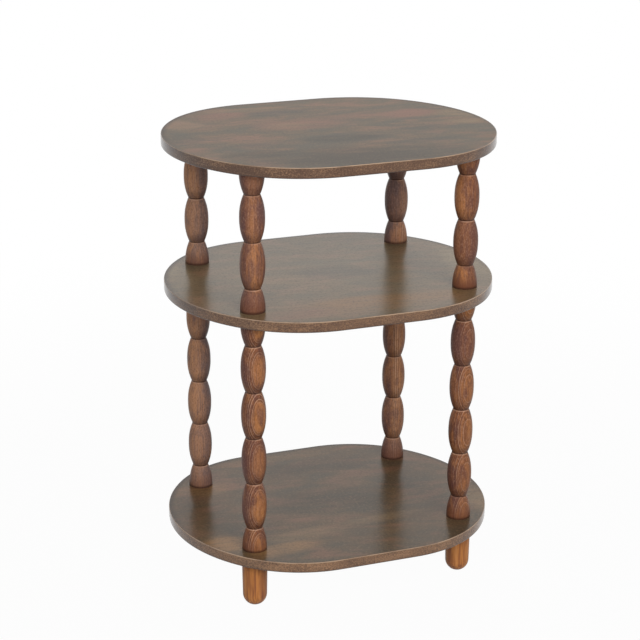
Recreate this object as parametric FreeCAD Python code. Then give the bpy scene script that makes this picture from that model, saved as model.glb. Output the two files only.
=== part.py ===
import FreeCAD, Part
import math
import os

# Tiered side table: three equal oblong tiers with bowed ends, carried one above the other
# by bobbin-turned posts, on short round feet. Pointed bolts join post to post through the tiers.
#
# Millimetres, +Z up, origin on the floor under the middle of the table.
# +X runs along the tiers' long sides, and -Y is the front.

# Heights, from the floor up
TABLE_HEIGHT = 650.0
FOOT_HEIGHT = 70.0
LOWER_POST_LENGTH = 338.0
TIER_THICKNESS = 15.0

# Tier outline, the same for all three
TIER_LENGTH = 474.0
TIER_WIDTH = 405.0
STRAIGHT_SIDE = 116.0           # straight stretch in the middle of each long side
SHOULDER_RADIUS = 165.0         # arc from a long side round towards the end
EDGE_BAND_THICKNESS = 1.0
EASED_ARRIS = 0.6               # small chamfer along the band's upper and lower arris

# Posts, on a rectangle about the table's middle
POST_SPACING_X = 317.0
POST_SPACING_Y = 245.0
BEAD_DIAMETER = 35.0
NECK_DIAMETER = 22.4            # at the bottom of the V cut between two beads
BEAD_FULLNESS = 2.3             # 2 is a plain round bead, more is fuller towards its crest
LOWER_POST_BEADS = 5            # pitches from tier to tier, with a half bead at each end
UPPER_POST_BEADS = 3
ARCS_PER_BEAD = 4

# Feet
FOOT_TOP_DIAMETER = 36.5
FOOT_DOME_DIAMETER = 34.5
FOOT_FLAT_DIAMETER = 14.0       # worn flat that meets the floor

# Joining hardware, M8
BOLT_DIAMETER = 8.0
BOLT_TIP_DIAMETER = 2.0
BOLT_POINT_LENGTH = 7.0
BOLT_LENGTH = 60.0              # from foot or lower post, through a tier, into the post above
TOP_BOLT_LENGTH = 40.0          # from upper post into the top tier
BOLT_CLEARANCE_DIAMETER = 9.0
BOLT_REACH = 12.0               # thread engaged in a post's insert
TOP_BOLT_REACH = 9.0            # thread engaged in the top tier's insert
INSERT_DIAMETER = 12.0
INSERT_LENGTH = 13.0
TOP_INSERT_LENGTH = 10.0
POST_INSERT_HOLE_DEPTH = 15.0
TOP_INSERT_HOLE_DEPTH = 10.5

# Levels worked out from the heights
UPPER_POST_LENGTH = TABLE_HEIGHT - FOOT_HEIGHT - LOWER_POST_LENGTH - 3 * TIER_THICKNESS
BOTTOM_TIER_Z = FOOT_HEIGHT
LOWER_POST_Z = BOTTOM_TIER_Z + TIER_THICKNESS
MIDDLE_TIER_Z = LOWER_POST_Z + LOWER_POST_LENGTH
UPPER_POST_Z = MIDDLE_TIER_Z + TIER_THICKNESS
TOP_TIER_Z = UPPER_POST_Z + UPPER_POST_LENGTH

# Arc centres of the tier outline, and the angle at which a shoulder meets the end arc
SHOULDER_X = STRAIGHT_SIDE / 2
SHOULDER_Y = TIER_WIDTH / 2 - SHOULDER_RADIUS
END_RUN = TIER_LENGTH / 2 - SHOULDER_X
END_RADIUS = (SHOULDER_RADIUS ** 2 - SHOULDER_Y ** 2 - END_RUN ** 2) / (2 * (SHOULDER_RADIUS - END_RUN))
END_X = TIER_LENGTH / 2 - END_RADIUS
JUNCTION_ANGLE = math.degrees(math.atan2(SHOULDER_Y, SHOULDER_X - END_X))

CORNERS = {
    "front_left": (-POST_SPACING_X / 2, -POST_SPACING_Y / 2),
    "front_right": (POST_SPACING_X / 2, -POST_SPACING_Y / 2),
    "back_left": (-POST_SPACING_X / 2, POST_SPACING_Y / 2),
    "back_right": (POST_SPACING_X / 2, POST_SPACING_Y / 2),
}

UP = FreeCAD.Vector(0, 0, 1)
ORIGIN = FreeCAD.Vector(0, 0, 0)


def flat_arc(centre_x, centre_y, radius, start, end):
    """Arc in the floor plane, by its centre, radius and two angles in degrees."""
    points = []
    for angle in (start, (start + end) / 2, end):
        turn = math.radians(angle)
        points.append(FreeCAD.Vector(centre_x + radius * math.cos(turn), centre_y + radius * math.sin(turn), 0))
    return Part.Arc(*points).toShape()


def long_side(y, start_x):
    """Straight stretch of the tier outline, from start_x to its mirror place."""
    return Part.LineSegment(FreeCAD.Vector(start_x, y, 0), FreeCAD.Vector(-start_x, y, 0)).toShape()


def tier_outline(inset):
    """Closed tier outline, moved inwards by inset, counter-clockwise from the right end's tip."""
    end = END_RADIUS - inset
    shoulder = SHOULDER_RADIUS - inset
    side_y = TIER_WIDTH / 2 - inset
    turn = JUNCTION_ANGLE
    return Part.Wire([
        flat_arc(END_X, 0, end, 0, turn),
        flat_arc(SHOULDER_X, SHOULDER_Y, shoulder, turn, 90),
        long_side(side_y, SHOULDER_X),
        flat_arc(-SHOULDER_X, SHOULDER_Y, shoulder, 90, 180 - turn),
        flat_arc(-END_X, 0, end, 180 - turn, 180),
        flat_arc(-END_X, 0, end, 180, 180 + turn),
        flat_arc(-SHOULDER_X, -SHOULDER_Y, shoulder, 180 + turn, 270),
        long_side(-side_y, -SHOULDER_X),
        flat_arc(SHOULDER_X, -SHOULDER_Y, shoulder, 270, 360 - turn),
        flat_arc(END_X, 0, end, 360 - turn, 360),
    ])


def tier_slab(inset, base_z):
    """Solid of the tier outline, one tier thick, standing on base_z."""
    slab = Part.Face(tier_outline(inset)).extrude(UP * TIER_THICKNESS)
    slab.translate(UP * base_z)
    return slab


def board(base_z):
    """Tier board without its edge band."""
    return tier_slab(EDGE_BAND_THICKNESS, base_z)


def edge_band(base_z):
    """Band glued round a board's edge, with its two outer arrises eased."""
    outer = tier_slab(0, base_z)
    arrises = [edge for edge in outer.Edges if edge.BoundBox.ZLength < EASED_ARRIS]
    return outer.makeChamfer(EASED_ARRIS, arrises).cut(board(base_z))


def at_each_corner(shape):
    """The same shape on all four post axes."""
    copies = []
    for x, y in CORNERS.values():
        copy = shape.copy()
        copy.translate(FreeCAD.Vector(x, y, 0))
        copies.append(copy)
    return copies


def drilled(solid, diameter, depth, base_z):
    """The solid with a vertical hole on each post axis, from base_z up."""
    return solid.cut(at_each_corner(Part.makeCylinder(diameter / 2, depth, UP * base_z)))


def section_point(radius, z):
    """Point of a turned profile, which is drawn in the XZ plane."""
    return FreeCAD.Vector(radius, 0, z)


def section_line(start, end):
    return Part.LineSegment(section_point(*start), section_point(*end)).toShape()


def turned(profile, bottom, top):
    """Solid turned about the Z axis from a profile of edges that rises from bottom to top."""
    closing = [
        section_line(top, (0, top[1])),
        section_line((0, top[1]), (0, bottom[1])),
        section_line((0, bottom[1]), bottom),
    ]
    return Part.Face(Part.Wire(profile + closing)).revolve(ORIGIN, UP, 360)


def bead_radius(height, pitch):
    """Radius of a bobbin-turned post at a height above its lower end, where a crest lies."""
    from_crest = abs((height + pitch / 2) % pitch - pitch / 2)
    neck_share = (from_crest / (pitch / 2)) ** BEAD_FULLNESS
    return (BEAD_DIAMETER - (BEAD_DIAMETER - NECK_DIAMETER) * neck_share) / 2


def bobbin_post(base_z, length, beads):
    """Row of turned beads with a V cut at each neck, cut off on a crest at both ends."""
    pitch = length / beads
    step = pitch / ARCS_PER_BEAD
    profile = []
    for index in range(beads * ARCS_PER_BEAD):
        heights = (index * step, (index + 0.5) * step, (index + 1) * step)
        points = [section_point(bead_radius(height, pitch), base_z + height) for height in heights]
        profile.append(Part.Arc(*points).toShape())
    end_radius = bead_radius(0, pitch)
    return turned(profile, (end_radius, base_z), (bead_radius(length, pitch), base_z + length))


def foot_body():
    """Slightly tapered round foot with a domed end, flat where it meets the floor."""
    dome_radius = FOOT_DOME_DIAMETER / 2
    flat_radius = FOOT_FLAT_DIAMETER / 2
    dome_z = math.sqrt(dome_radius ** 2 - flat_radius ** 2)
    half_turn = math.atan2(dome_z, flat_radius) / 2
    halfway = section_point(dome_radius * math.cos(half_turn), dome_z - dome_radius * math.sin(half_turn))
    dome = Part.Arc(section_point(flat_radius, 0), halfway, section_point(dome_radius, dome_z)).toShape()
    side = section_line((dome_radius, dome_z), (FOOT_TOP_DIAMETER / 2, FOOT_HEIGHT))
    return turned([dome, side], (flat_radius, 0), (FOOT_TOP_DIAMETER / 2, FOOT_HEIGHT))


def hanger_bolt(top_z, length):
    """Headless bolt with a pointed wood thread below and a machine thread above."""
    tip = (BOLT_TIP_DIAMETER / 2, top_z - length)
    shoulder = (BOLT_DIAMETER / 2, top_z - length + BOLT_POINT_LENGTH)
    end = (BOLT_DIAMETER / 2, top_z)
    return turned([section_line(tip, shoulder), section_line(shoulder, end)], tip, end)


def threaded_insert(base_z, length):
    """Plain metal sleeve that takes a bolt's machine thread."""
    sleeve = Part.makeCylinder(INSERT_DIAMETER / 2, length, UP * base_z)
    return sleeve.cut(Part.makeCylinder(BOLT_DIAMETER / 2, length, UP * base_z))


def insert_hole(base_z):
    """Blind hole up into a post's lower end."""
    return Part.makeCylinder(INSERT_DIAMETER / 2, POST_INSERT_HOLE_DEPTH, UP * base_z)


def build_nodes():
    """Every node of the table: name and shape."""
    foot_bolt = hanger_bolt(LOWER_POST_Z + BOLT_REACH, BOLT_LENGTH)
    lower_bolt = hanger_bolt(UPPER_POST_Z + BOLT_REACH, BOLT_LENGTH)
    upper_bolt = hanger_bolt(TOP_TIER_Z + TOP_BOLT_REACH, TOP_BOLT_LENGTH)

    foot = foot_body().cut(foot_bolt)
    lower_post = bobbin_post(LOWER_POST_Z, LOWER_POST_LENGTH, LOWER_POST_BEADS)
    lower_post = lower_post.cut([insert_hole(LOWER_POST_Z), lower_bolt])
    upper_post = bobbin_post(UPPER_POST_Z, UPPER_POST_LENGTH, UPPER_POST_BEADS)
    upper_post = upper_post.cut([insert_hole(UPPER_POST_Z), upper_bolt])

    nodes = {
        "bottom_tier": drilled(board(BOTTOM_TIER_Z), BOLT_CLEARANCE_DIAMETER, TIER_THICKNESS, BOTTOM_TIER_Z),
        "middle_tier": drilled(board(MIDDLE_TIER_Z), BOLT_CLEARANCE_DIAMETER, TIER_THICKNESS, MIDDLE_TIER_Z),
        "top_tier": drilled(board(TOP_TIER_Z), INSERT_DIAMETER, TOP_INSERT_HOLE_DEPTH, TOP_TIER_Z),
        "bottom_edge_band": edge_band(BOTTOM_TIER_Z),
        "middle_edge_band": edge_band(MIDDLE_TIER_Z),
        "top_edge_band": edge_band(TOP_TIER_Z),
    }
    for name, piece in (("foot", foot), ("lower_post", lower_post), ("upper_post", upper_post)):
        for corner, copy in zip(CORNERS, at_each_corner(piece)):
            nodes[name + "_" + corner] = copy

    hardware = {
        "foot_bolts": foot_bolt,
        "lower_post_bolts": lower_bolt,
        "upper_post_bolts": upper_bolt,
        "lower_post_inserts": threaded_insert(LOWER_POST_Z, INSERT_LENGTH),
        "upper_post_inserts": threaded_insert(UPPER_POST_Z, INSERT_LENGTH),
        "top_tier_inserts": threaded_insert(TOP_TIER_Z, TOP_INSERT_LENGTH),
    }
    for name, piece in hardware.items():
        nodes[name] = Part.makeCompound(at_each_corner(piece))
    return nodes


os.makedirs("parts", exist_ok=True)
for node, shape in build_nodes().items():
    shape.exportStep("parts/" + node + ".step")
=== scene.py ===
import math
import bmesh
import bpy
from mathutils import Matrix, Vector


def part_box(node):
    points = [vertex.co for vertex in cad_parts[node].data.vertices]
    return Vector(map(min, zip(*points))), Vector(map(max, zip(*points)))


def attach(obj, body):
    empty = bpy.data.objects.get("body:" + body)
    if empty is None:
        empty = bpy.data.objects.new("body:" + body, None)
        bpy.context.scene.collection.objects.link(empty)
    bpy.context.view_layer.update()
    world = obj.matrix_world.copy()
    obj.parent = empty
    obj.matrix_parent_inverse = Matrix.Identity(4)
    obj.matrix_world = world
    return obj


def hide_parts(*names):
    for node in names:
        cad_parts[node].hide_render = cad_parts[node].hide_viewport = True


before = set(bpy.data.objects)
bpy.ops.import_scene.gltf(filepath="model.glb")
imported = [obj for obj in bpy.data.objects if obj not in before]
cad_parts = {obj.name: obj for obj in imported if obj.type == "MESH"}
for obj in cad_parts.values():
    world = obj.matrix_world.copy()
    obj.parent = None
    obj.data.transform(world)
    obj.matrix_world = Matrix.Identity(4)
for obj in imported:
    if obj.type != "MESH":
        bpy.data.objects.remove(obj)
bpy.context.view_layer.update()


# ---------------------------------------------------------------------------------------------
# Tier boards. Three equal 15 mm boards, sawn to an oblong with bowed ends and faced with
# walnut-stained veneer under a satin lacquer, its grain running along the long side. The lower
# two are drilled through for the joining bolts, the top one has blind holes for its inserts.
# ---------------------------------------------------------------------------------------------
STRAIGHT_SIDE = 0.116
SHOULDER_RADIUS = 0.165
BAND_THICKNESS = 0.001
ARC_STEPS = 28
SAME_POINT = 1e-6

_, band_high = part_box("top_edge_band")
HALF_LENGTH = band_high.x
HALF_WIDTH = band_high.y
SHOULDER_X = STRAIGHT_SIDE / 2
SHOULDER_Y = HALF_WIDTH - SHOULDER_RADIUS
END_RUN = HALF_LENGTH - SHOULDER_X
END_RADIUS = (SHOULDER_RADIUS ** 2 - SHOULDER_Y ** 2 - END_RUN ** 2) / (2 * (SHOULDER_RADIUS - END_RUN))
END_X = HALF_LENGTH - END_RADIUS
JUNCTION = math.atan2(SHOULDER_Y, SHOULDER_X - END_X)

BOARD_HOLE_RADIUS = 0.0045
INSERT_RADIUS = 0.006
TOP_HOLE_DEPTH = 0.0105
HOLE_STEPS = 24
RIM_WIDTH = 0.009

post_low, post_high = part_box("lower_post_back_right")
POST_X = (post_low.x + post_high.x) / 2
POST_Y = (post_low.y + post_high.y) / 2
CORNERS = {
    "front_left": (-POST_X, -POST_Y),
    "front_right": (POST_X, -POST_Y),
    "back_left": (-POST_X, POST_Y),
    "back_right": (POST_X, POST_Y),
}


def tier_outline(inset):
    """Points of the tier's edge, moved inwards by inset, counter-clockwise from the right end."""
    end, shoulder = END_RADIUS - inset, SHOULDER_RADIUS - inset
    arcs = [
        (END_X, 0, end, -JUNCTION, JUNCTION),
        (SHOULDER_X, SHOULDER_Y, shoulder, JUNCTION, math.pi / 2),
        (-SHOULDER_X, SHOULDER_Y, shoulder, math.pi / 2, math.pi - JUNCTION),
        (-END_X, 0, end, math.pi - JUNCTION, math.pi + JUNCTION),
        (-SHOULDER_X, -SHOULDER_Y, shoulder, math.pi + JUNCTION, math.pi * 1.5),
        (SHOULDER_X, -SHOULDER_Y, shoulder, math.pi * 1.5, math.tau - JUNCTION),
    ]
    points = []
    for x, y, radius, start, stop in arcs:
        for step in range(ARC_STEPS + 1):
            angle = start + (stop - start) * step / ARC_STEPS
            point = Vector((x + radius * math.cos(angle), y + radius * math.sin(angle)))
            if not points or (point - points[-1]).length > SAME_POINT:
                points.append(point)
    if (points[0] - points[-1]).length < SAME_POINT:
        points.pop()
    return points


def circle(x, y, radius, steps):
    """Points of a circle, counter-clockwise."""
    turns = [math.tau * step / steps for step in range(steps)]
    return [Vector((x + radius * math.cos(turn), y + radius * math.sin(turn))) for turn in turns]


def ring_of(form, points, z):
    """Closed loop of new vertices at one height."""
    return [form.verts.new((point.x, point.y, z)) for point in points]


def wall(form, lower, upper):
    """Quads between two loops of the same count."""
    for index in range(len(lower)):
        after = (index + 1) % len(lower)
        form.faces.new((lower[index], lower[after], upper[after], upper[index])).smooth = True


def loop_edges(form, loop):
    """The closed loop's edges, made where they aren't there yet."""
    pairs = [(loop[index], loop[(index + 1) % len(loop)]) for index in range(len(loop))]
    return [form.edges.get(pair) or form.edges.new(pair) for pair in pairs]


SHARP_TURN = math.radians(28)


def finished(name, form):
    """Object made from a bmesh, its faces turned outwards and its corners kept crisp."""
    bmesh.ops.recalc_face_normals(form, faces=form.faces)
    for edge in form.edges:
        edge.smooth = len(edge.link_faces) < 2 or edge.calc_face_angle(0) < SHARP_TURN
    mesh = bpy.data.meshes.new(name)
    form.to_mesh(mesh)
    form.free()
    piece = bpy.data.objects.new(name, mesh)
    bpy.context.scene.collection.objects.link(piece)
    return piece


def drilled_board(name, base, top, hole_radius, hole_depth):
    """Board with a vertical hole on each post axis, drilled up from the underside.

    The vertices along its edge carry a painted_rim_shade value of 1, which fades inwards and places
    painted shade along the rim.
    """
    form = bmesh.new()
    painted_rim_shade = form.verts.layers.float.new("painted_rim_shade")
    outline, inner = tier_outline(BAND_THICKNESS), tier_outline(BAND_THICKNESS + RIM_WIDTH)
    under, over = ring_of(form, outline, base), ring_of(form, outline, top)
    for vertex in under + over:
        vertex[painted_rim_shade] = 1.0
    wall(form, under, over)
    under_inner, over_inner = ring_of(form, inner, base), ring_of(form, inner, top)
    wall(form, under_inner, under)
    wall(form, over, over_inner)
    goes_through = base + hole_depth >= top
    under_edges, over_edges = loop_edges(form, under_inner), loop_edges(form, over_inner)
    for x, y in CORNERS.values():
        hole = circle(x, y, hole_radius, HOLE_STEPS)
        mouth, end = ring_of(form, hole, base), ring_of(form, hole, min(top, base + hole_depth))
        wall(form, mouth, end)
        under_edges += loop_edges(form, mouth)
        if goes_through:
            over_edges += loop_edges(form, end)
        else:
            form.faces.new(end)
    for edges in (under_edges, over_edges):
        bmesh.ops.triangle_fill(form, edges=edges, use_beauty=True, use_dissolve=False)
    return finished(name, form)


def new_finish(name):
    """A material, its node tree and its shader."""
    finish = bpy.data.materials.new(name)
    finish.use_nodes = True
    return finish, finish.node_tree, finish.node_tree.nodes["Principled BSDF"]


def fill(tree, node, inputs):
    """Set a node's inputs. A socket is linked to its input, and anything else is written to it."""
    for key, value in inputs.items():
        if isinstance(value, bpy.types.NodeSocket):
            tree.links.new(value, node.inputs[key])
        else:
            node.inputs[key].default_value = value


def add(tree, kind, inputs, **settings):
    """New node with its settings and its inputs."""
    node = tree.nodes.new(kind)
    for key, value in settings.items():
        setattr(node, key, value)
    fill(tree, node, inputs)
    return node


def own_coordinates(tree):
    """Place on the piece, in metres from its own origin."""
    return add(tree, "ShaderNodeTexCoord", {}).outputs["Object"]


def stretched(tree, vector, scale=(1, 1, 1), move=(0, 0, 0), turn=0):
    """Coordinates scaled along each axis, turned about Z and then moved."""
    inputs = {"Vector": vector, "Scale": scale, "Location": move, "Rotation": (0, 0, turn)}
    return add(tree, "ShaderNodeMapping", inputs).outputs[0]


def noise(tree, vector, waves, detail=2, roughness=0.5, distortion=0.0, move=(0, 0, 0)):
    """Cloudy value about 0.5. waves is how fine it is along each axis, in waves per metre."""
    inputs = {"Vector": stretched(tree, vector, waves, move), "Scale": 1.0, "Detail": detail}
    inputs.update({"Roughness": roughness, "Distortion": distortion})
    return add(tree, "ShaderNodeTexNoise", inputs).outputs["Fac"]


def maths(tree, operation, first, second=0.0):
    """Result of one operation on one or two values."""
    return add(tree, "ShaderNodeMath", {0: first, 1: second}, operation=operation).outputs[0]


def product(tree, *factors):
    """Two or more values multiplied together."""
    result = factors[0]
    for factor in factors[1:]:
        result = maths(tree, "MULTIPLY", result, factor)
    return result


def remapped(tree, value, low, high, to_low=0.0, to_high=1.0):
    """Value between low and high spread smoothly over to_low and to_high."""
    inputs = {"Value": value, "From Min": low, "From Max": high, "To Min": to_low, "To Max": to_high}
    return add(tree, "ShaderNodeMapRange", inputs, interpolation_type="SMOOTHSTEP").outputs[0]


def colour_band(tree, value, stops):
    """Colour ramp through (place, colour) stops."""
    node = add(tree, "ShaderNodeValToRGB", {"Fac": value})
    ramp = node.color_ramp
    while len(ramp.elements) < len(stops):
        ramp.elements.new(0.5)
    for element, (place, colour) in zip(ramp.elements, stops):
        element.position = place
        element.color = (*colour, 1)
    return node.outputs["Color"]


def blended(tree, share, first, second, mode="MIX"):
    """Two colours, each a socket or three numbers, mixed by share."""
    pair = [(*colour, 1) if isinstance(colour, tuple) else colour for colour in (first, second)]
    # a colour mix takes its share in input 0 and its colours in inputs 6 and 7
    inputs = {0: share, 6: pair[0], 7: pair[1]}
    return add(tree, "ShaderNodeMix", inputs, data_type="RGBA", blend_type=mode).outputs[2]


def washed(tree, wood, colour, value, start, full, share):
    """Wood under a colour that comes in as value goes from start to full, up to share of it."""
    return blended(tree, remapped(tree, value, start, full, 0.0, share), wood, colour)


def raised(tree, height, strength, distance):
    """Bump normal from a height."""
    inputs = {"Height": height, "Strength": strength, "Distance": distance}
    return add(tree, "ShaderNodeBump", inputs).outputs[0]


NOISE_MEAN = (0.5, 0.5, 0.5)


def warped(tree, place, waves, amount):
    """Coordinates pushed about by a soft noise, by up to half of amount along each axis."""
    inputs = {"Vector": stretched(tree, place, waves), "Scale": 1.0, "Detail": 1.0}
    sway = add(tree, "ShaderNodeTexNoise", inputs).outputs["Color"]
    sway = add(tree, "ShaderNodeVectorMath", {0: sway, 1: NOISE_MEAN}, operation="SUBTRACT")
    inputs = {0: sway.outputs[0], 1: amount, 2: place}
    return add(tree, "ShaderNodeVectorMath", inputs, operation="MULTIPLY_ADD").outputs[0]


PATCH_CORE = 0.3
PATCH_DEPTH = 10


def soft_patch(tree, place, x, y, length, width, turn):
    """1 in the core of a long soft patch about x and y, right through the board, and 0 past its edge."""
    inputs = {"Vector": place, "Location": (x, y, 0), "Rotation": (0, 0, turn)}
    inputs["Scale"] = (length / 2, width / 2, PATCH_DEPTH)
    near = add(tree, "ShaderNodeMapping", inputs, vector_type="TEXTURE").outputs[0]
    distance = add(tree, "ShaderNodeVectorMath", {0: near}, operation="LENGTH").outputs["Value"]
    return remapped(tree, distance, 1.0, PATCH_CORE)


WALNUT_COOL = (0.075, 0.066, 0.048)
WALNUT_BROWN = (0.130, 0.084, 0.047)
WALNUT_RED = (0.255, 0.120, 0.076)
WALNUT_TAN = (0.285, 0.185, 0.095)
WALNUT_PORE_AND_SHADE = (0.040, 0.026, 0.018)
WALNUT_DEEP = (0.055, 0.040, 0.024)
WALNUT_AMBER = (0.290, 0.155, 0.062)
WALNUT_DUSK = (0.098, 0.062, 0.030)
WALNUT_FADED = (0.280, 0.205, 0.110)
FIGURE_SLANT = math.radians(9)
PATCH_WAVES = (14, 40, 9)
PATCH_SWAY = (0.04, 0.014, 0.0)
GRAIN_RELIEF = 0.004
GRAIN_DEPTH = 0.0001


def walnut_veneer(name, shift, toner, toned, dullness, sheen, patches):
    """Stained veneer with short soft figure, flecks, fine grain lines and pores, and painted shade along
    the rim, darkest at the back.

    shift moves the random figure to another part of the sheet, and toned is how much of the
    toner's colour lies over it. dullness is the lacquer's roughness and sheen its reflection
    level. Each patch is (x, y, length, width, turn in degrees, colour, strength).
    """
    finish, tree, shader = new_finish(name)
    place = own_coordinates(tree)
    sheet = stretched(tree, place, move=shift, turn=FIGURE_SLANT)
    figure = noise(tree, sheet, (12, 27, 4), detail=3, roughness=0.55, distortion=0.7)
    tint = noise(tree, sheet, (26, 56, 4), move=(5, 9, 2))
    thread = noise(tree, sheet, (16, 80, 7), detail=3, roughness=0.6)
    fleck = noise(tree, sheet, (260, 240, 260), detail=3, roughness=0.7)
    grain = noise(tree, sheet, (18, 520, 18), detail=3, roughness=0.6)
    pores = noise(tree, sheet, (70, 1500, 70), detail=1)

    wood = colour_band(tree, figure, [(0.34, WALNUT_COOL), (0.52, WALNUT_BROWN), (0.74, WALNUT_RED)])
    wood = washed(tree, wood, WALNUT_RED, tint, 0.54, 0.70, 0.45)
    wood = washed(tree, wood, WALNUT_COOL, tint, 0.46, 0.32, 0.50)
    wood = blended(tree, toned, wood, toner)
    drawn = warped(tree, place, PATCH_WAVES, PATCH_SWAY)
    threads = remapped(tree, thread, 0.30, 0.62, 0.50, 1.0)
    for x, y, length, width, turn, colour, strength in patches:
        patch = soft_patch(tree, drawn, x, y, length, width, math.radians(turn))
        wood = blended(tree, product(tree, patch, threads, strength), wood, colour)
    wood = washed(tree, wood, WALNUT_PORE_AND_SHADE, fleck, 0.50, 0.30, 0.44)
    wood = washed(tree, wood, WALNUT_TAN, fleck, 0.52, 0.72, 0.36)
    wood = washed(tree, wood, WALNUT_PORE_AND_SHADE, grain, 0.60, 0.36, 0.15)
    wood = washed(tree, wood, WALNUT_PORE_AND_SHADE, pores, 0.66, 0.76, 0.40)

    # painted shade along the rim, growing from the front of the board to its back
    painted_rim_shade = add(tree, "ShaderNodeAttribute", {}, attribute_name="painted_rim_shade").outputs["Fac"]
    back = add(tree, "ShaderNodeSeparateXYZ", {"Vector": place}).outputs["Y"]
    painted_rim_shade = product(tree, painted_rim_shade, remapped(tree, back, -0.08, 0.08, 0.1, 0.95))
    fill(tree, shader, {
        "Base Color": blended(tree, painted_rim_shade, wood, WALNUT_PORE_AND_SHADE),
        "Roughness": dullness,
        "Normal": raised(tree, grain, GRAIN_RELIEF, GRAIN_DEPTH),
        "Specular IOR Level": sheen,
    })
    return finish


# shift, toner and its share, roughness, reflection level and the patches, in metres from the middle
TIERS = {
    "top": ((0.0, 0.0, 0.0), WALNUT_FADED, 0.14, 0.435, 0.28, [
        (-0.028, 0.047, 0.19, 0.090, -3, WALNUT_RED, 0.85),
        (-0.045, 0.045, 0.09, 0.050, 0, WALNUT_TAN, 0.45),
        (0.150, 0.060, 0.14, 0.075, 0, WALNUT_RED, 0.95),
        (0.060, 0.072, 0.12, 0.050, 0, WALNUT_RED, 0.6),
        (-0.118, 0.138, 0.11, 0.060, 0, WALNUT_RED, 0.9),
        (-0.218, -0.058, 0.06, 0.050, 0, WALNUT_RED, 0.5),
        (-0.060, 0.165, 0.20, 0.035, 0, WALNUT_TAN, 0.5),
        (-0.192, 0.100, 0.08, 0.080, 0, WALNUT_FADED, 1.0),
        (-0.192, 0.100, 0.08, 0.080, 0, WALNUT_RED, 0.6),
        (0.205, -0.015, 0.10, 0.040, -10, WALNUT_TAN, 0.8),
        (0.218, 0.038, 0.08, 0.080, 0, WALNUT_TAN, 0.7),
        (-0.031, 0.128, 0.14, 0.050, 0, WALNUT_COOL, 0.9),
        # the cool and deep patches towards the front, with y below -0.05, are partly painted shade: they
        # darken the front, which takes less of the lacquer's reflection
        (0.003, -0.054, 0.21, 0.080, -3, WALNUT_COOL, 0.95),
        (0.003, -0.054, 0.15, 0.050, -3, WALNUT_DEEP, 0.75),
        (-0.021, -0.169, 0.15, 0.060, 0, WALNUT_DEEP, 1.0),
        (-0.130, -0.060, 0.17, 0.060, 0, WALNUT_COOL, 0.7),
        (0.110, -0.100, 0.18, 0.050, 0, WALNUT_COOL, 0.8),
        (0.131, -0.033, 0.12, 0.055, 0, WALNUT_COOL, 0.8),
        (-0.210, 0.012, 0.07, 0.100, 0, WALNUT_COOL, 0.7),
        (-0.145, -0.105, 0.14, 0.055, 0, WALNUT_DEEP, 0.85),
        (-0.010, -0.165, 0.48, 0.170, -8, WALNUT_DEEP, 0.95),
    ]),
    "middle": ((1.3, 0.7, 0.0), WALNUT_FADED, 0.45, 0.245, 0.28, [
        (0.013, 0.005, 0.18, 0.090, -8, WALNUT_COOL, 0.6),
        (-0.010, -0.150, 0.42, 0.110, 0, WALNUT_AMBER, 0.60),
        (-0.012, -0.136, 0.17, 0.060, 0, WALNUT_AMBER, 1.0),
        (-0.073, -0.004, 0.10, 0.070, 0, WALNUT_TAN, 0.5),
        (-0.101, -0.158, 0.14, 0.070, 0, WALNUT_RED, 0.5),
        (0.091, -0.146, 0.16, 0.070, 0, WALNUT_AMBER, 0.5),
        (0.213, -0.010, 0.08, 0.240, 0, WALNUT_FADED, 0.9),
        (-0.205, 0.060, 0.07, 0.180, 0, WALNUT_FADED, 0.9),
    ]),
    "bottom": ((2.9, 1.9, 0.0), WALNUT_DUSK, 0.45, 0.225, 0.26, [
        (0.011, -0.007, 0.26, 0.130, -6, WALNUT_DEEP, 0.8),
        (0.006, 0.125, 0.28, 0.090, -4, WALNUT_DEEP, 0.7),
        (0.120, -0.085, 0.13, 0.070, 0, WALNUT_DEEP, 0.4),
        (-0.080, -0.105, 0.18, 0.050, 4, WALNUT_TAN, 0.32),
        (0.055, -0.090, 0.16, 0.034, 4, WALNUT_TAN, 0.28),
        (-0.190, -0.095, 0.10, 0.080, 0, WALNUT_AMBER, 0.9),
        (-0.119, -0.140, 0.15, 0.050, 4, WALNUT_AMBER, 0.7),
        (-0.162, 0.099, 0.12, 0.060, 0, WALNUT_AMBER, 0.5),
        (0.215, -0.080, 0.08, 0.160, 0, WALNUT_TAN, 0.6),
        (-0.020, 0.176, 0.26, 0.040, 0, WALNUT_AMBER, 0.3),
    ]),
}
for tier, (shift, toner, toned, dullness, sheen, patches) in TIERS.items():
    low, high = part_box(tier + "_tier")
    if tier == "top":
        hole_radius, hole_depth = INSERT_RADIUS, TOP_HOLE_DEPTH
    else:
        hole_radius, hole_depth = BOARD_HOLE_RADIUS, high.z - low.z
    board = drilled_board(tier + "_board", low.z, high.z, hole_radius, hole_depth)
    veneer = walnut_veneer(tier + "_walnut_veneer", shift, toner, toned, dullness, sheen, patches)
    board.data.materials.append(veneer)
    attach(board, "root")
    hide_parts(tier + "_tier")


# ---------------------------------------------------------------------------------------------
# Edge bands. A 1 mm strip of the same walnut is glued round each board and its two outer
# arrises are rounded over by hand. The upper one is rubbed paler than the mottled face below
# it, with a painted highlight along it. The lower arris, the lower side and the top of the upper
# arris are darkened with painted shade.
# ---------------------------------------------------------------------------------------------
ARRIS_REACH = 0.0009
ARRIS_DROP = 0.0015
ARRIS_STEPS = 5


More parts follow.
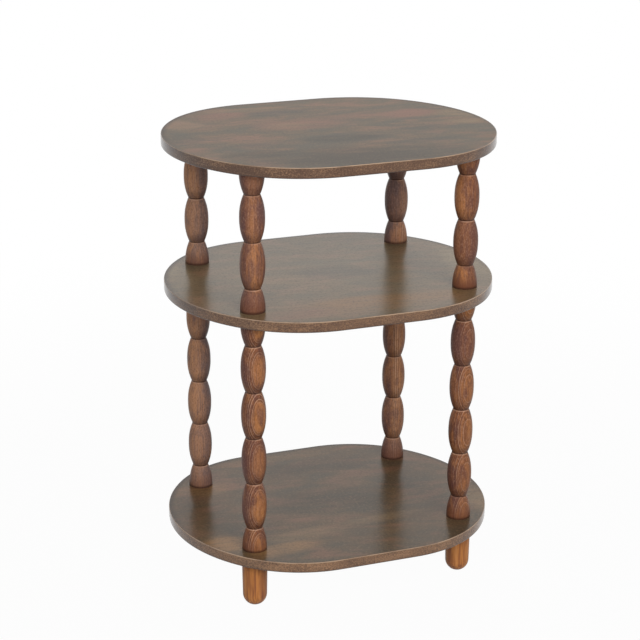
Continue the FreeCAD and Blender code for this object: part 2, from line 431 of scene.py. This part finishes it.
def rounded_band(name, base, top):
    """Strip round the tier outline with its outer arrises rounded."""
    section = []
    for centre_z, start in ((base + ARRIS_DROP, 1.5 * math.pi), (top - ARRIS_DROP, math.pi)):
        for step in range(ARRIS_STEPS + 1):
            angle = start - math.pi / 2 * step / ARRIS_STEPS
            inset = ARRIS_REACH + ARRIS_REACH * math.cos(angle)
            section.append((inset, centre_z + ARRIS_DROP * math.sin(angle)))
    section += [(BAND_THICKNESS, top), (BAND_THICKNESS, base)]
    form = bmesh.new()
    loops = [ring_of(form, tier_outline(inset), z) for inset, z in section]
    for index, loop in enumerate(loops):
        wall(form, loop, loops[(index + 1) % len(loops)])
    return finished(name, form)


EDGE_DARK = (0.064, 0.027, 0.012)
EDGE_BROWN = (0.100, 0.050, 0.026)
EDGE_LIGHT = (0.210, 0.110, 0.053)
EDGE_PALE = (0.300, 0.165, 0.085)
EDGE_WEAR_AND_HIGHLIGHT = (0.385, 0.262, 0.172)
MOTTLE_SHARE = 0.75
SHADE_HEIGHT = 0.004
EDGE_RELIEF = 0.05
EDGE_DEPTH = 0.0002


def plateau(tree, value, start, full, fading, gone):
    """1 where value lies between full and fading, falling softly to 0 at start and at gone."""
    return product(tree, remapped(tree, value, start, full), remapped(tree, value, gone, fading))


def spread(tree, cloud, lowest, highest):
    """The usual range of a noise, 0.3 to 0.7, spread over lowest to highest."""
    return remapped(tree, cloud, 0.3, 0.7, lowest, highest)


def edge_walnut(name, shift, paleness, base):
    """Stained edge with a fine mottle, its upper arris worn pale with a painted highlight, and
    painted shade on its lower side, its lower arris and the top of its upper arris.

    paleness moves the whole mottle towards its lighter tones and base is the band's lower side.
    """
    finish, tree, shader = new_finish(name)
    place = own_coordinates(tree)
    strip = stretched(tree, place, move=shift)
    mottle = noise(tree, strip, (420, 420, 700), detail=4, roughness=0.7)
    smear = noise(tree, strip, (24, 24, 70), detail=3, roughness=0.6)
    fine, broad = product(tree, mottle, MOTTLE_SHARE), product(tree, smear, 1 - MOTTLE_SHARE)
    tone = maths(tree, "ADD", maths(tree, "ADD", fine, broad), paleness)
    stops = [(0.42, EDGE_DARK), (0.52, EDGE_BROWN), (0.61, EDGE_LIGHT), (0.72, EDGE_PALE)]
    wood = colour_band(tree, tone, stops)
    height = add(tree, "ShaderNodeSeparateXYZ", {"Vector": place}).outputs["Z"]
    # painted shade, darker towards the band's lower side
    wood = washed(tree, wood, EDGE_DARK, height, base + SHADE_HEIGHT, base, 0.55)

    # upward is 0 on the upright face, 1 on the board's top and -1 under it
    facing = add(tree, "ShaderNodeNewGeometry", {}).outputs["Normal"]
    upward = add(tree, "ShaderNodeSeparateXYZ", {"Vector": facing}).outputs["Z"]
    # the upper arris is worn paler and also carries a painted highlight
    arris = plateau(tree, upward, 0.08, 0.32, 0.86, 0.98)
    wear_and_highlight = product(tree, arris, remapped(tree, smear, 0.35, 0.6, 0.5, 1.0))
    wood = blended(tree, wear_and_highlight, wood, EDGE_WEAR_AND_HIGHLIGHT)
    # painted shade on the downward-facing lower arris and on the top of the upper arris
    wood = washed(tree, wood, WALNUT_PORE_AND_SHADE, upward, -0.08, -0.4, 0.85)
    wood = washed(tree, wood, WALNUT_PORE_AND_SHADE, upward, 0.9, 0.99, 0.5)
    fill(tree, shader, {
        "Base Color": wood,
        "Roughness": spread(tree, mottle, 0.12, 0.20),
        "Normal": raised(tree, mottle, EDGE_RELIEF, EDGE_DEPTH),
    })
    return finish


# shift of the mottle and its paleness
EDGES = {
    "top": ((0.2, 0.5, 0.0), 0.0),
    "middle": ((1.1, 2.7, 0.0), 0.035),
    "bottom": ((2.3, 0.9, 0.0), 0.080),
}
for tier, (shift, paleness) in EDGES.items():
    low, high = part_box(tier + "_edge_band")
    band = rounded_band(tier + "_rounded_band", low.z, high.z)
    band.data.materials.append(edge_walnut(tier + "_edge_walnut", shift, paleness, low.z))
    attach(band, "root")
    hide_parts(tier + "_edge_band")


# ---------------------------------------------------------------------------------------------
# Feet. Four short softwood turnings, tapered a little, with a domed end worn flat where it
# stands. They are stained a lighter orange-brown than the posts, so the straight grain shows.
# ---------------------------------------------------------------------------------------------
LATHE_STEPS = 72
FOOT_FLAT_RADIUS = 0.007
FOOT_DOME_RADIUS = 0.01725
FOOT_TOP_RADIUS = 0.01825
DOME_STEPS = 14
BOLT_RADIUS = 0.004
BOLT_TIP_RADIUS = 0.001
BOLT_POINT = 0.007


def turning(name, profile):
    """Solid of revolution about Z. The profile is (radius, z) points, from axis to axis."""
    form = bmesh.new()
    rings = [ring_of(form, circle(0, 0, radius, LATHE_STEPS), z) for radius, z in profile[1:-1]]
    for lower, upper in zip(rings, rings[1:]):
        wall(form, lower, upper)
    for (radius, z), ring in ((profile[0], rings[0]), (profile[-1], rings[-1])):
        pole = form.verts.new((radius, 0, z))
        for index in range(LATHE_STEPS):
            form.faces.new((pole, ring[index], ring[(index + 1) % LATHE_STEPS])).smooth = True
    return finished(name, form)


def bolt_hole(top, depth):
    """Profile of the hole that a pointed bolt fills, from its mouth down to its tip."""
    end = top - depth
    return [(BOLT_RADIUS, top), (BOLT_RADIUS, end + BOLT_POINT), (BOLT_TIP_RADIUS, end), (0, end)]


def foot_profile(height, bolt_depth):
    """Flat, dome, tapered side and the bolt's hole in the top."""
    dome_z = math.sqrt(FOOT_DOME_RADIUS ** 2 - FOOT_FLAT_RADIUS ** 2)
    start = math.atan2(-dome_z, FOOT_FLAT_RADIUS)
    dome = []
    for step in range(DOME_STEPS + 1):
        angle = start * (1 - step / DOME_STEPS)
        dome.append((FOOT_DOME_RADIUS * math.cos(angle), dome_z + FOOT_DOME_RADIUS * math.sin(angle)))
    return [(0, 0)] + dome + [(FOOT_TOP_RADIUS, height)] + bolt_hole(height, bolt_depth)


FOOT_ORANGE = (0.430, 0.168, 0.048)
FOOT_BROWN = (0.216, 0.077, 0.034)
FOOT_PALE = (0.535, 0.230, 0.082)
FOOT_SHEEN = 0.2
TURNED_RELIEF = 0.15
TURNED_DEPTH = 0.0003


def foot_stain(name, shift):
    """Orange-brown stain that has taken darker in the straight grain and in soft patches."""
    finish, tree, shader = new_finish(name)
    stick = stretched(tree, own_coordinates(tree), move=shift)
    streak = noise(tree, stick, (230, 230, 12), detail=3, roughness=0.6)
    patch = noise(tree, stick, (70, 70, 22))
    wood = colour_band(tree, streak, [(0.36, FOOT_BROWN), (0.52, FOOT_ORANGE), (0.70, FOOT_PALE)])
    fill(tree, shader, {
        "Base Color": washed(tree, wood, FOOT_BROWN, patch, 0.45, 0.66, 0.6),
        "Roughness": spread(tree, streak, 0.40, 0.52),
        "Normal": raised(tree, streak, TURNED_RELIEF, TURNED_DEPTH),
        "Specular IOR Level": FOOT_SHEEN,
    })
    return finish


# step through the random figure from one foot to the next
FOOT_SHIFT = (0.31, 0.17, 0.4)
_, foot_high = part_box("foot_front_left")
bolt_low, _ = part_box("foot_bolts")
for number, (corner, (x, y)) in enumerate(CORNERS.items()):
    foot = turning("turned_foot_" + corner, foot_profile(foot_high.z, foot_high.z - bolt_low.z))
    foot.location = (x, y, 0)
    shift = tuple(step * number for step in FOOT_SHIFT)
    foot.data.materials.append(foot_stain("foot_stain_" + corner, shift))
    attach(foot, "root")
    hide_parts("foot_" + corner)


# ---------------------------------------------------------------------------------------------
# Posts. Four long and four short bobbin turnings in reddish-brown stained softwood. Each is a
# row of beads between sharp V cuts, parted off on a crest at both ends. The billets were sawn
# from the side of the log, so their growth rings show as nested ovals on the beads.
# ---------------------------------------------------------------------------------------------
BEAD_RADIUS = 0.0175
NECK_RADIUS = 0.0112
BEAD_FULLNESS = 2.3
BEAD_STEPS = 24
INSERT_HOLE_DEPTH = 0.015


def bead_radius(height, pitch):
    """Radius of a post at a height above its lower end, where a crest lies."""
    from_crest = abs((height + pitch / 2) % pitch - pitch / 2)
    return BEAD_RADIUS - (BEAD_RADIUS - NECK_RADIUS) * (from_crest / (pitch / 2)) ** BEAD_FULLNESS


def post_profile(length, beads, bolt_depth):
    """Insert hole below, the beads, and the bolt's hole above."""
    pitch = length / beads
    count = beads * BEAD_STEPS
    heights = [length * step / count for step in range(count + 1)]
    side = [(bead_radius(height, pitch), height) for height in heights]
    hole = [(0, INSERT_HOLE_DEPTH), (INSERT_RADIUS, INSERT_HOLE_DEPTH), (INSERT_RADIUS, 0)]
    return hole + side + bolt_hole(length, bolt_depth)


PITH_DISTANCE = 0.090
RING_WAVES = (12, 12, 7)
RING_SWAY = (0.004, 0.004, 0.0)
RING_REACH = 0.020
MM_IN_METRE = 1000


def ring_depth(tree, billet, shift, facing):
    """Way across the growth rings in metres, 0 at the post's axis and more towards facing."""
    grown = warped(tree, billet, RING_WAVES, RING_SWAY)
    grown = add(tree, "ShaderNodeVectorMath", {0: grown, 1: shift}, operation="SUBTRACT").outputs[0]
    from_pith = stretched(tree, grown, (1, 1, 0), move=(PITH_DISTANCE, 0, 0), turn=-facing)
    radius = add(tree, "ShaderNodeVectorMath", {0: from_pith}, operation="LENGTH").outputs["Value"]
    return maths(tree, "SUBTRACT", radius, PITH_DISTANCE)


def ring_lines(tree, depth, lines):
    """Share of ring line at a depth. A line is (depth in mm, half width in mm, strength)."""
    stops = []
    for middle, half_width, strength in lines:
        for level, share in ((middle - half_width, 0), (middle, strength), (middle + half_width, 0)):
            place = (level / MM_IN_METRE + RING_REACH) / (2 * RING_REACH)
            stops.append((place, (share, share, share)))
    inputs = {"Value": depth, "From Min": -RING_REACH, "From Max": RING_REACH}
    return colour_band(tree, add(tree, "ShaderNodeMapRange", inputs).outputs[0], stops)


POST_GOLD = (0.400, 0.166, 0.058)
POST_ORANGE = (0.235, 0.092, 0.041)
POST_RED = (0.122, 0.045, 0.025)
POST_PLUM = (0.106, 0.045, 0.037)
POST_DARK = (0.036, 0.015, 0.009)
POST_LINE = (0.500, 0.300, 0.200)
POST_BLOOM = (0.036, 0.054, 0.060)
DARK_RING_SHARE = 0.7


def ringed_softwood(tree, billet, depth, fibre, patch, lines, pale_band_and_highlight):
    """Colour of the stained wood and the share of pale ring line on it."""
    wood = colour_band(tree, fibre, [(0.40, POST_RED), (0.59, POST_ORANGE)])
    wood = washed(tree, wood, POST_PLUM, patch, 0.44, 0.64, 0.65)
    wood = washed(tree, wood, POST_PLUM, patch, 0.50, 0.66, 0.40)
    # the paler band is partly the wood's own and partly a painted highlight to one side of the post
    *levels, gold_share = pale_band_and_highlight
    start, peak, end = (level / MM_IN_METRE for level in levels)
    fibrous = remapped(tree, fibre, 0.38, 0.58, 0.5, 1.0)
    paler_and_highlight = product(tree, plateau(tree, depth, start, peak, peak, end), fibrous, gold_share)
    wood = blended(tree, paler_and_highlight, wood, POST_GOLD)
    tint = noise(tree, billet, (75, 75, 30), move=(7, 3, 5))
    wood = washed(tree, wood, POST_GOLD, tint, 0.54, 0.72, 0.45)
    wood = washed(tree, wood, POST_PLUM, tint, 0.46, 0.30, 0.60)

    inside = [(middle - 2 * half_width, half_width, strength) for middle, half_width, strength in lines]
    dark_line = product(tree, ring_lines(tree, depth, inside), DARK_RING_SHARE)
    wood = blended(tree, dark_line, wood, POST_DARK)
    worn = remapped(tree, tint, 0.32, 0.58, 0.30, 1.0)
    line = product(tree, ring_lines(tree, depth, lines), worn)
    return blended(tree, line, wood, POST_LINE), line


EVEN_STRETCH = 0.4


def soaked(tree, wood, height, pitch, taken):
    """Wood with each bead darker by its share in taken, from the lowest crest to the highest.

    A bead keeps its share over EVEN_STRETCH of a pitch to each side of its crest.
    """
    last = len(taken) - 1
    stops = []
    for crest, share in enumerate(taken):
        for level in (crest - EVEN_STRETCH, crest + EVEN_STRETCH):
            if 0 < level < last:
                stops.append((level / last, (share, share, share)))
    darker = colour_band(tree, maths(tree, "DIVIDE", height, pitch * last), stops)
    return blended(tree, darker, wood, POST_PLUM)


# start, full, fading and gone, where 0 is a crest, 0.5 the neck over it and 1 the next crest
CUT_LIP = (0.466, 0.480, 0.488, 0.496)
CUT_LINE = (0.490, 0.498, 0.503, 0.530)
CUT_SHADE = (0.498, 0.504, 0.52, 0.80)
LINE_SHARE = 0.8
SHADE_SHARE = 0.45
# heights at which the darker footing starts and is full, in pitches, and the painted contact shadow, in
# metres
FOOTING = (0.40, 0.05)
PAINTED_CONTACT_SHADOW = (0.005, 0.001)


def shaded_cuts(tree, wood, height, pitch, patch, footing):
    """Wood with painted shade in the V cuts and on the lower side of each bead, a pale lip under
    each cut that is partly wear and partly painted highlight, and a painted contact shadow
    where the post stands.
    """
    phase = maths(tree, "FRACT", maths(tree, "DIVIDE", height, pitch))
    # painted shade on the lower side of each bead, up from the cut below it
    shade = plateau(tree, phase, *CUT_SHADE)
    wood = blended(tree, product(tree, shade, SHADE_SHARE), wood, POST_DARK)
    wood = washed(tree, wood, POST_RED, height, FOOTING[0] * pitch, FOOTING[1] * pitch, footing)
    # painted contact shadow where the post stands on the board
    wood = washed(tree, wood, POST_DARK, height, *PAINTED_CONTACT_SHADOW, 0.8)
    # the pale lip under each cut is partly wear and partly a painted highlight where the bead's top
    # meets the light
    lip = plateau(tree, phase, *CUT_LIP)
    lip = product(tree, lip, remapped(tree, patch, 0.60, 0.35, 0.10, 0.60))
    wood = blended(tree, lip, wood, POST_LINE)
    # painted shade in the bottom of each V cut
    cut = plateau(tree, phase, *CUT_LINE)
    return blended(tree, product(tree, cut, LINE_SHARE), wood, POST_DARK)


LINE_RELIEF = 0.6
POST_SHEEN = 0.15


def post_stain(name, pitch, facing, lines, pale_band_and_highlight, bloom, footing, taken, shift):
    """Stained softwood turned about its own Z axis.

    facing is the direction in which the growth rings bulge and lines are the rings that show,
    each pale with a dark one inside it. pale_band_and_highlight is the band of paler wood, set
    so that it also paints a highlight to one side of the post: the depths in mm along facing at
    which it starts, peaks and ends, and its share. bloom is how greyed the lacquer is, footing
    how dark the wood is where it stands, and taken how deeply the stain has gone into each
    bead, from the lowest crest to the highest.
    """
    finish, tree, shader = new_finish(name)
    place = own_coordinates(tree)
    height = add(tree, "ShaderNodeSeparateXYZ", {"Vector": place}).outputs["Z"]
    billet = stretched(tree, place, move=shift)
    fibre = noise(tree, billet, (420, 420, 22), detail=3, roughness=0.6)
    patch = noise(tree, billet, (52, 52, 24))
    speck = noise(tree, billet, (560, 560, 330), roughness=0.6)
    depth = ring_depth(tree, billet, shift, facing)
    wood, line = ringed_softwood(tree, billet, depth, fibre, patch, lines, pale_band_and_highlight)
    wood = soaked(tree, wood, height, pitch, taken)
    wood = blended(tree, bloom, wood, POST_BLOOM, mode="ADD")
    wood = washed(tree, wood, POST_DARK, speck, 0.48, 0.30, 0.35)
    wood = washed(tree, wood, POST_LINE, speck, 0.52, 0.70, 0.20)
    relief = maths(tree, "ADD", fibre, product(tree, line, LINE_RELIEF))
    fill(tree, shader, {
        "Base Color": shaded_cuts(tree, wood, height, pitch, patch, footing),
        "Roughness": spread(tree, fibre, 0.38, 0.50),
        "Normal": raised(tree, relief, TURNED_RELIEF, TURNED_DEPTH),
        "Specular IOR Level": POST_SHEEN,
    })
    return finish


# depth of each ring in mm, its half width in mm and its strength
BOLD_RINGS = [(6.2, 0.3, 0.5), (8.9, 0.35, 0.9), (11.0, 0.35, 0.9), (13.5, 0.25, 0.9), (14.6, 0.2, 0.5)]
CLOSE_RINGS = [(6.9, 0.35, 0.6), (10.6, 0.35, 0.9), (12.5, 0.25, 0.5), (15.0, 0.25, 0.6)]
SIDE_RINGS = [(1.0, 0.6, 0.5), (3.8, 0.9, 0.9), (6.6, 0.9, 0.8), (9.6, 0.7, 0.5)]
FLANK_RINGS = [(2.0, 0.5, 0.5), (10.5, 0.5, 0.9), (13.0, 0.4, 0.6)]
FAINT_RINGS = [(-2.0, 0.6, 0.20), (4.5, 0.6, 0.25), (10.5, 0.5, 0.25)]
# direction the rings face in degrees from +X, rings, paler band and painted highlight, bloom, footing
# and stain
POSTS = {
    "lower_post_front_left": (
        -77, BOLD_RINGS, (12.0, 17.0, 40.0, 1.0), 0.0, 0.4, [0.15, 0.20, 0.45, 0.0, 0.25, 0.0]),
    "lower_post_front_right": (
        -73, CLOSE_RINGS, (8.0, 15.0, 40.0, 0.50), 0.0, 0.7, [0.0, 0.20, 0.05, 0.10, 0.55, 0.0]),
    "lower_post_back_left": (
        -165, FAINT_RINGS, (-4.0, 14.0, 40.0, 1.0), 1.0, 0.4, [0.45, 0.25, 0.05, 0.0, 0.0, 0.10]),
    "lower_post_back_right": (
        -22, SIDE_RINGS, (-8.0, 5.0, 26.0, 1.0), 0.4, 0.5, [0.65, 0.10, 0.0, 0.0, 0.0, 0.10]),
    "upper_post_front_left": (
        -22, FAINT_RINGS, (-9.0, 4.0, 12.0, 0.70), 0.15, 0.6, [0.60, 0.05, 0.30, 0.50]),
    "upper_post_front_right": (
        -165, FAINT_RINGS, (-2.0, 16.0, 40.0, 0.80), 0.03, 0.9, [0.0, 0.60, 0.15, 0.20]),
    "upper_post_back_left": (
        -165, FAINT_RINGS, (-3.0, 16.0, 40.0, 1.0), 1.0, 0.6, [0.05, 0.20, 0.0, 0.0]),
    "upper_post_back_right": (
        -22, FLANK_RINGS, (1.0, 11.0, 40.0, 1.0), 0.8, 0.3, [0.0, 0.40, 0.50, 0.50]),
}
BEADS = {"lower": 5, "upper": 3}
# step through the random figure from one post to the next
POST_SHIFT = (0.37, 0.23, 0.51)
for number, (node, (facing, *character)) in enumerate(POSTS.items()):
    level, corner = node.split("_post_")
    low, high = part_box(node)
    bolts_low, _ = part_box(level + "_post_bolts")
    length = high.z - low.z
    post = turning("turned_" + node, post_profile(length, BEADS[level], high.z - bolts_low.z))
    post.location = (*CORNERS[corner], low.z)
    pitch = length / BEADS[level]
    shift = tuple(step * number for step in POST_SHIFT)
    stain = post_stain("stain_" + node, pitch, math.radians(facing), *character, shift)
    post.data.materials.append(stain)
    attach(post, "root")
    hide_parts(node)


# ---------------------------------------------------------------------------------------------
# Joining hardware. Zinc-plated hanger bolts run from each foot and lower post up through a tier,
# and from each upper post into the top one. They screw into plain brass inserts, and all of it
# is hidden once the table is put together.
# ---------------------------------------------------------------------------------------------
METAL_WORN = (0.30, 0.29, 0.27)
DULLNESS_SPREAD = 0.06


def plated_metal(name, colour, dullness):
    """Metal with a slightly uneven plate, where dullness is its mean roughness."""
    finish, tree, shader = new_finish(name)
    cloud = noise(tree, own_coordinates(tree), (220, 220, 220), detail=3)
    fill(tree, shader, {
        "Base Color": blended(tree, spread(tree, cloud, 0.0, 0.35), colour, METAL_WORN),
        "Roughness": spread(tree, cloud, dullness - DULLNESS_SPREAD, dullness + DULLNESS_SPREAD),
        "Metallic": 1.0,
    })
    return finish


zinc = plated_metal("zinc_plate", (0.62, 0.63, 0.65), 0.32)
brass = plated_metal("plain_brass", (0.72, 0.52, 0.22), 0.38)
METALS = {
    "foot_bolts": zinc,
    "lower_post_bolts": zinc,
    "upper_post_bolts": zinc,
    "lower_post_inserts": brass,
    "upper_post_inserts": brass,
    "top_tier_inserts": brass,
}
for node, metal in METALS.items():
    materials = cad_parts[node].data.materials
    materials.clear()
    materials.append(metal)


# ---------------------------------------------------------------------------------------------
# Studio. A pale floor that runs out of sight, a white surround, and three soft boxes round the
# table, low enough to reach between its tiers. They leave the posts darker towards their sides.
# The camera stands in front and to the left, and looks down on the table a little.
# ---------------------------------------------------------------------------------------------
FLOOR_HALF = 6.0
FLOOR_GREY = (0.32, 0.32, 0.32, 1)
FLOOR_DULLNESS = 0.9
NEAR_SHARE = 0.97
NEAR_REACH = 0.08
FAR_REACH = 0.30
WHITE = (1, 1, 1, 1)


def seen_directly(tree):
    """1 for what the camera sees, also in a reflection, and 0 for the light that falls on things."""
    path = add(tree, "ShaderNodeLightPath", {})
    return maths(tree, "MAXIMUM", path.outputs["Is Camera Ray"], path.outputs["Is Glossy Ray"])


form = bmesh.new()
form.faces.new(ring_of(form, [Vector((x, y)) for x, y in ((-1, -1), (1, -1), (1, 1), (-1, 1))], 0))
floor = finished("studio_floor", form)
floor.scale = (FLOOR_HALF, FLOOR_HALF, 1)
paper, tree, shader = new_finish("floor_paper")
fill(tree, shader, {"Base Color": FLOOR_GREY, "Roughness": FLOOR_DULLNESS})
white = add(tree, "ShaderNodeEmission", {"Color": WHITE, "Strength": 1.0})
# the table's shadow shows faintly up to the near reach and fades out at the far one, both given
# as shares of the floor's half width
away = add(tree, "ShaderNodeVectorMath", {0: own_coordinates(tree)}, operation="LENGTH").outputs["Value"]
share = product(tree, seen_directly(tree), remapped(tree, away, NEAR_REACH, FAR_REACH, NEAR_SHARE, 1.0))
mixed = add(tree, "ShaderNodeMixShader", {0: share, 1: shader.outputs[0], 2: white.outputs[0]})
tree.links.new(mixed.outputs[0], tree.nodes["Material Output"].inputs["Surface"])
floor.data.materials.append(paper)

SURROUND_GLOW = 0.14
world = bpy.data.worlds.new("white_surround")
bpy.context.scene.world = world
world.use_nodes = True
tree = world.node_tree
glow = remapped(tree, seen_directly(tree), 0.0, 1.0, SURROUND_GLOW, 1.0)
fill(tree, tree.nodes["Background"], {"Color": WHITE, "Strength": glow})

BOX_SIDE = 1.4
BOX_HEIGHT = 1.49
TABLE_MIDDLE = Vector((0, 0, 0.33))


def soft_box(name, x, y, power):
    """Square lamp turned towards the table, out of sight of the camera and of every gloss."""
    lamp = bpy.data.lights.new(name, "AREA")
    lamp.shape = "SQUARE"
    lamp.size = BOX_SIDE
    lamp.energy = power
    box = bpy.data.objects.new(name, lamp)
    box.location = (x, y, BOX_HEIGHT)
    box.rotation_euler = (TABLE_MIDDLE - box.location).to_track_quat("-Z", "Y").to_euler()
    box.visible_camera = False
    box.visible_glossy = False
    bpy.context.scene.collection.objects.link(box)


soft_box("right_box", 0.26, -2.48, 49)
soft_box("left_box", -1.32, -2.11, 33)
soft_box("back_box", 0.92, 2.32, 45)

# place in metres and turns in radians
CAMERA_PLACE = (-0.99685, -2.51573, 1.27256)
CAMERA_YAW = 0.37293
CAMERA_PITCH = 0.32262
CAMERA_ROLL = 0.00361
LENS = 110.53
SENSOR_WIDTH = 36
camera = bpy.data.objects.new("camera", bpy.data.cameras.new("camera"))
camera.data.lens = LENS
camera.data.sensor_width = SENSOR_WIDTH
aim = Matrix.Rotation(-CAMERA_YAW, 4, "Z") @ Matrix.Rotation(math.pi / 2 - CAMERA_PITCH, 4, "X")
camera.matrix_world = Matrix.Translation(CAMERA_PLACE) @ aim @ Matrix.Rotation(CAMERA_ROLL, 4, "Z")
bpy.context.scene.collection.objects.link(camera)
bpy.context.scene.camera = camera
bpy.context.scene.view_settings.view_transform = "Standard"
